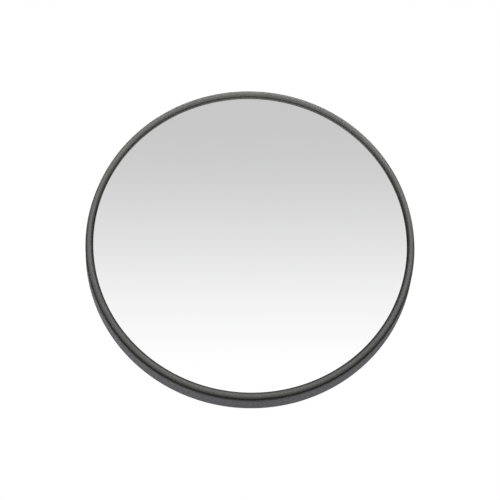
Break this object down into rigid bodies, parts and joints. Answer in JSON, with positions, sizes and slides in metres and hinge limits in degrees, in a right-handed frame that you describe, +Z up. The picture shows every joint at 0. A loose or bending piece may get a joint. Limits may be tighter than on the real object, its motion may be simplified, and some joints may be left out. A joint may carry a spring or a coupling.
{
  "type": "convex security mirror",
  "caption": "Round convex security mirror with a rubber edge and moulded back, on a telescoping wall arm that swivels and tilts.",
  "frame": {"origin": "centre of the wall plate's back face", "axes": "+Y points into the wall, the mirror faces -Y at rest, +Z is up and +X is to the right of a viewer facing the wall"},
  "size_m": [0.4572, 0.3334, 0.4572],
  "materials": {
    "mirrored_acrylic": "polished",
    "edge_rubber": "satin",
    "seal_foam": "matte",
    "housing_plastic": "satin",
    "powder_coat": "satin",
    "zinc_steel": "satin",
    "nylon": "satin",
    "knob_plastic": "satin",
    "brass": "satin",
    "cast_aluminium": "satin"
  },
  "bodies": {
    "wall_bracket": {"wall_plate": "powder_coat", "outer_tube": "powder_coat", "gusset_left": "powder_coat", "gusset_right": "powder_coat", "tube_collar": "knob_plastic", "clamp_nut": "powder_coat"},
    "clamp_tip": {"clamp_pad": "brass"},
    "clamp_handle": {"clamp_screw": "zinc_steel", "clamp_knob": "knob_plastic"},
    "extension_arm": {"extension_tube": "zinc_steel", "rear_slide_bush": "nylon", "pan_fork": "powder_coat", "pan_bolt": "zinc_steel"},
    "pan_lock_disc": {"pan_knob_washer": "zinc_steel"},
    "pan_lock_handle": {"pan_knob": "knob_plastic", "pan_knob_insert": "brass"},
    "knuckle_unit": {"swivel_knuckle": "cast_aluminium", "pan_bush": "nylon", "tilt_bush": "nylon", "pan_friction_disc_upper": "nylon", "pan_friction_disc_lower": "nylon", "tilt_friction_disc_left": "nylon", "tilt_friction_disc_right": "nylon"},
    "mirror_head": {"tilt_fork": "powder_coat", "tilt_bolt": "zinc_steel", "mounting_plate": "powder_coat", "reinforcing_plate": "zinc_steel", "plate_bolt_1": "zinc_steel", "plate_bolt_2": "zinc_steel", "plate_bolt_3": "zinc_steel", "plate_bolt_4": "zinc_steel", "plate_washer_1": "zinc_steel", "plate_washer_2": "zinc_steel", "plate_washer_3": "zinc_steel", "plate_washer_4": "zinc_steel", "plate_nut_1": "zinc_steel", "plate_nut_2": "zinc_steel", "plate_nut_3": "zinc_steel", "plate_nut_4": "zinc_steel", "rear_housing": "housing_plastic", "lens_seal_ring": "seal_foam", "mirror_lens": "mirrored_acrylic", "rim_gasket": "edge_rubber"},
    "tilt_lock_disc": {"tilt_knob_washer": "zinc_steel"},
    "tilt_lock_handle": {"tilt_knob": "knob_plastic", "tilt_knob_insert": "brass"}
  },
  "joints": [
    {"name": "arm_extension", "type": "slide", "parent": "wall_bracket", "child": "extension_arm", "axis": [0, -1, 0], "range_m": [0, 0.08]},
    {"name": "clamp_tip_travel", "type": "slide", "parent": "wall_bracket", "child": "clamp_tip", "axis": [1, 0, 0], "range_m": [0, 0.00125]},
    {"name": "clamp_screw_turn", "type": "hinge", "parent": "clamp_tip", "child": "clamp_handle", "pos_m": [0.0154, -0.114, 0], "axis": [1, 0, 0], "range_deg": [0, 360]},
    {"name": "pan_swivel", "type": "hinge", "parent": "extension_arm", "child": "knuckle_unit", "pos_m": [0, -0.172, 0], "axis": [0, 0, 1], "range_deg": [-50, 50]},
    {"name": "tilt_swivel", "type": "hinge", "parent": "knuckle_unit", "child": "mirror_head", "pos_m": [0, -0.206, 0], "axis": [1, 0, 0], "range_deg": [-45, 45]},
    {"name": "pan_disc_travel", "type": "slide", "parent": "extension_arm", "child": "pan_lock_disc", "axis": [0, 0, -1], "range_m": [0, 0.00125]},
    {"name": "pan_knob_turn", "type": "hinge", "parent": "pan_lock_disc", "child": "pan_lock_handle", "pos_m": [0, -0.172, -0.0194], "axis": [0, 0, -1], "range_deg": [0, 360]},
    {"name": "tilt_disc_travel", "type": "slide", "parent": "mirror_head", "child": "tilt_lock_disc", "axis": [1, 0, 0], "range_m": [0, 0.00125]},
    {"name": "tilt_knob_turn", "type": "hinge", "parent": "tilt_lock_disc", "child": "tilt_lock_handle", "pos_m": [0.0194, -0.206, 0], "axis": [1, 0, 0], "range_deg": [0, 360]}
  ],
  "couplings": [
    {"joint": "clamp_screw_turn", "follows": "clamp_tip_travel", "rad_per_m": 5026.5},
    {"joint": "pan_knob_turn", "follows": "pan_disc_travel", "rad_per_m": 5026.5},
    {"joint": "tilt_knob_turn", "follows": "tilt_disc_travel", "rad_per_m": 5026.5}
  ]
}
